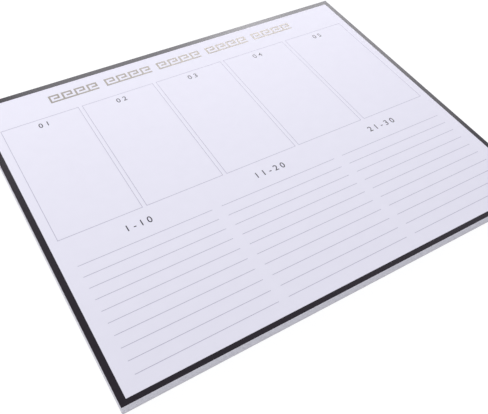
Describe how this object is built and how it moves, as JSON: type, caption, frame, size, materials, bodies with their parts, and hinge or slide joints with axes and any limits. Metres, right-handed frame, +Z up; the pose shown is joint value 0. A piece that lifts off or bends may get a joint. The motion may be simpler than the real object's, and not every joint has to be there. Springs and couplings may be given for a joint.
{
  "type": "weekly planner pad",
  "caption": "Flat pad of glued tear-off leaves on a chipboard back, top leaf with a dark border, gold foil key pattern, day boxes and ruled lists.",
  "frame": {"origin": "middle of the pad's underside, with the glue film counted in its depth", "axes": "+X along the width, +Y towards the glued edge at the head of the page, +Z up out of the top leaf"},
  "size_m": [0.254, 0.2036, 0.0072],
  "materials": {
    "paper": "smooth white stock",
    "chipboard": "matte grey chipboard",
    "padding_glue": "satin dried padding glue",
    "border_ink": "satin dark ink",
    "line_ink": "matte grey ink",
    "gold_foil": "satin hot-stamped foil"
  },
  "bodies": {
    "root": {"sheet_block": "paper", "backing_board": "chipboard", "binding_glue": "padding_glue", "border_print": "border_ink", "foil_key_01": "gold_foil", "foil_key_02": "gold_foil", "foil_key_03": "gold_foil", "foil_key_04": "gold_foil", "foil_key_05": "gold_foil", "day_box_01": "line_ink", "day_box_02": "line_ink", "day_box_03": "line_ink", "day_box_04": "line_ink", "day_box_05": "line_ink", "list_01_line_01": "line_ink", "list_01_line_02": "line_ink", "list_01_line_03": "line_ink", "list_01_line_04": "line_ink", "list_01_line_05": "line_ink", "list_01_line_06": "line_ink", "list_01_line_07": "line_ink", "list_01_line_08": "line_ink", "list_01_line_09": "line_ink", "list_01_line_10": "line_ink", "list_02_line_01": "line_ink", "list_02_line_02": "line_ink", "list_02_line_03": "line_ink", "list_02_line_04": "line_ink", "list_02_line_05": "line_ink", "list_02_line_06": "line_ink", "list_02_line_07": "line_ink", "list_02_line_08": "line_ink", "list_02_line_09": "line_ink", "list_02_line_10": "line_ink", "list_03_line_01": "line_ink", "list_03_line_02": "line_ink", "list_03_line_03": "line_ink", "list_03_line_04": "line_ink", "list_03_line_05": "line_ink", "list_03_line_06": "line_ink", "list_03_line_07": "line_ink", "list_03_line_08": "line_ink", "list_03_line_09": "line_ink", "list_03_line_10": "line_ink"}
  },
  "joints": []
}
